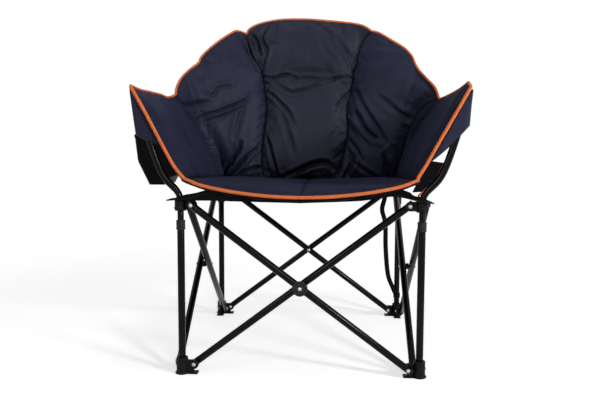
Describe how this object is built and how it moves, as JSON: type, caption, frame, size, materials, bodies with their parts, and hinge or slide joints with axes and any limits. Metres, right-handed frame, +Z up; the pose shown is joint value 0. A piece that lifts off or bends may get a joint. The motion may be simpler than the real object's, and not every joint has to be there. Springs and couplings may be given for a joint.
{
  "type": "folding camping chair",
  "caption": "Extra-wide padded tub camping chair on a square scissor-braced tube frame with telescoping legs that folds to an upright bundle.",
  "frame": {"origin": "middle of the bounding box at floor level", "axes": "+Z up, +Y to the rear, +X to the right as seen from in front"},
  "size_m": [0.88, 0.7314, 1.0355],
  "materials": {
    "coated_steel": "gloss black powder coat on steel tube",
    "black_plastic": "moulded nylon, fine satin texture",
    "rivet_steel": "bright plated rivet heads",
    "navy_padding": "plain-woven polyester over foam",
    "black_cloth": "coarse polyester cloth and webbing",
    "orange_piping": "woven piping cord sewn into the seams"
  },
  "bodies": {
    "front_left_leg": {"foot_front_left": "black_plastic", "lower_leg_front_left": "coated_steel", "sleeve_front_left": "black_plastic"},
    "front_rising": {"brace_rising_front": "coated_steel", "hub_spacer_front": "black_plastic", "hub_rivet_front": "rivet_steel", "hub_disc": "black_plastic"},
    "front_falling": {"brace_falling_front": "coated_steel"},
    "right_rising": {"brace_rising_right": "coated_steel", "hub_spacer_right": "black_plastic", "hub_rivet_right": "rivet_steel"},
    "right_falling": {"brace_falling_right": "coated_steel"},
    "rear_rising": {"brace_rising_rear": "coated_steel", "hub_spacer_rear": "black_plastic", "hub_rivet_rear": "rivet_steel"},
    "rear_falling": {"brace_falling_rear": "coated_steel"},
    "left_rising": {"brace_rising_left": "coated_steel", "hub_spacer_left": "black_plastic", "hub_rivet_left": "rivet_steel"},
    "left_falling": {"brace_falling_left": "coated_steel"},
    "front_right_leg": {"foot_front_right": "black_plastic", "lower_leg_front_right": "coated_steel", "sleeve_front_right": "black_plastic"},
    "rear_right_leg": {"foot_rear_right": "black_plastic", "lower_leg_rear_right": "coated_steel", "sleeve_rear_right": "black_plastic"},
    "rear_left_leg": {"foot_rear_left": "black_plastic", "lower_leg_rear_left": "coated_steel", "sleeve_rear_left": "black_plastic"},
    "front_left_upper": {"bracket_front_left": "black_plastic", "inner_tube_front_left": "coated_steel", "corner_tab_front_left": "black_cloth", "arm_post_left": "coated_steel", "arm_panel_left": "navy_padding", "arm_flap_left": "navy_padding", "side_gusset_left": "black_cloth", "cup_pocket": "black_cloth"},
    "front_right_upper": {"bracket_front_right": "black_plastic", "inner_tube_front_right": "coated_steel", "corner_tab_front_right": "black_cloth", "arm_post_right": "coated_steel", "arm_panel_right": "navy_padding", "arm_flap_right": "navy_padding", "side_gusset_right": "black_cloth"},
    "rear_right_upper": {"bracket_rear_right": "black_plastic", "inner_tube_rear_right": "coated_steel", "corner_tab_rear_right": "black_cloth", "back_post_right": "coated_steel", "back_wing_right": "navy_padding", "carry_strap": "black_cloth"},
    "rear_left_upper": {"bracket_rear_left": "black_plastic", "inner_tube_rear_left": "coated_steel", "corner_tab_rear_left": "black_cloth", "back_post_left": "coated_steel", "back_wing_left": "navy_padding", "back_panel": "navy_padding"},
    "seat_left": {"seat_pad_left": "navy_padding", "seat_sling_left": "black_cloth"},
    "seat_right": {"seat_pad_right": "navy_padding", "seat_sling_right": "black_cloth"}
  },
  "joints": [
    {"name": "fold", "type": "hinge", "parent": "front_left_leg", "child": "front_rising", "pos_m": [-0.279, -0.3333, 0.024], "axis": [0, -1, 0], "range_deg": [0, 44], "deforming": ["arm_panel_left", "arm_panel_right", "back_wing_left", "back_wing_right", "back_panel", "seat_pad_left", "seat_pad_right", "seat_sling_left", "seat_sling_right"]},
    {"name": "front_right_upper", "type": "hinge", "parent": "front_rising", "child": "front_right_upper", "pos_m": [0.279, -0.3333, 0.445], "axis": [0, -1, 0], "range_deg": [-44, 0]},
    {"name": "front_cross", "type": "hinge", "parent": "front_rising", "child": "front_falling", "pos_m": [0, -0.3333, 0.2345], "axis": [0, -1, 0], "range_deg": [-88, 0]},
    {"name": "front_right_foot", "type": "hinge", "parent": "front_falling", "child": "front_right_leg", "pos_m": [0.279, -0.3333, 0.024], "axis": [0, -1, 0], "range_deg": [0, 44]},
    {"name": "front_left_upper", "type": "hinge", "parent": "front_falling", "child": "front_left_upper", "pos_m": [-0.279, -0.3333, 0.445], "axis": [0, -1, 0], "range_deg": [0, 44]},
    {"name": "left_fold", "type": "hinge", "parent": "front_left_leg", "child": "left_falling", "pos_m": [-0.31, -0.3023, 0.024], "axis": [1, 0, 0], "range_deg": [0, 44]},
    {"name": "rear_left_upper", "type": "hinge", "parent": "left_falling", "child": "rear_left_upper", "pos_m": [-0.31, 0.2557, 0.445], "axis": [1, 0, 0], "range_deg": [-44, 0]},
    {"name": "left_cross", "type": "hinge", "parent": "left_falling", "child": "left_rising", "pos_m": [-0.31, -0.0233, 0.2345], "axis": [1, 0, 0], "range_deg": [-88, 0]},
    {"name": "rear_left_foot", "type": "hinge", "parent": "left_rising", "child": "rear_left_leg", "pos_m": [-0.31, 0.2557, 0.024], "axis": [1, 0, 0], "range_deg": [0, 44]},
    {"name": "right_fold", "type": "hinge", "parent": "front_right_leg", "child": "right_rising", "pos_m": [0.31, -0.3023, 0.024], "axis": [1, 0, 0], "range_deg": [0, 44]},
    {"name": "rear_right_upper", "type": "hinge", "parent": "right_rising", "child": "rear_right_upper", "pos_m": [0.31, 0.2557, 0.445], "axis": [1, 0, 0], "range_deg": [-44, 0]},
    {"name": "right_cross", "type": "hinge", "parent": "right_rising", "child": "right_falling", "pos_m": [0.31, -0.0233, 0.2345], "axis": [1, 0, 0], "range_deg": [-88, 0]},
    {"name": "rear_right_foot", "type": "hinge", "parent": "right_falling", "child": "rear_right_leg", "pos_m": [0.31, 0.2557, 0.024], "axis": [1, 0, 0], "range_deg": [0, 44]},
    {"name": "rear_fold", "type": "hinge", "parent": "rear_left_leg", "child": "rear_falling", "pos_m": [-0.279, 0.2867, 0.024], "axis": [0, -1, 0], "range_deg": [0, 44]},
    {"name": "rear_cross", "type": "hinge", "parent": "rear_falling", "child": "rear_rising", "pos_m": [0, 0.2867, 0.2345], "axis": [0, -1, 0], "range_deg": [-88, 0]},
    {"name": "seat_left_fold", "type": "hinge", "parent": "front_left_upper", "child": "seat_left", "pos_m": [-0.29, -0.3333, 0.475], "axis": [0, -1, 0], "range_deg": [0, 78.76]},
    {"name": "seat_right_fold", "type": "hinge", "parent": "front_right_upper", "child": "seat_right", "pos_m": [0.29, -0.3333, 0.475], "axis": [0, 1, 0], "range_deg": [0, 78.76]}
  ],
  "couplings": [
    {"joint": "front_right_upper", "follows": "fold", "ratio": -1},
    {"joint": "front_cross", "follows": "fold", "ratio": -2},
    {"joint": "front_right_foot", "follows": "fold", "ratio": 1},
    {"joint": "front_left_upper", "follows": "fold", "ratio": 1},
    {"joint": "left_fold", "follows": "fold", "ratio": 1},
    {"joint": "rear_left_upper", "follows": "fold", "ratio": -1},
    {"joint": "left_cross", "follows": "fold", "ratio": -2},
    {"joint": "rear_left_foot", "follows": "fold", "ratio": 1},
    {"joint": "right_fold", "follows": "fold", "ratio": 1},
    {"joint": "rear_right_upper", "follows": "fold", "ratio": -1},
    {"joint": "right_cross", "follows": "fold", "ratio": -2},
    {"joint": "rear_right_foot", "follows": "fold", "ratio": 1},
    {"joint": "rear_fold", "follows": "fold", "ratio": 1},
    {"joint": "rear_cross", "follows": "fold", "ratio": -2},
    {"joint": "seat_left_fold", "follows": "fold", "ratio": 1.79},
    {"joint": "seat_right_fold", "follows": "fold", "ratio": 1.79}
  ]
}
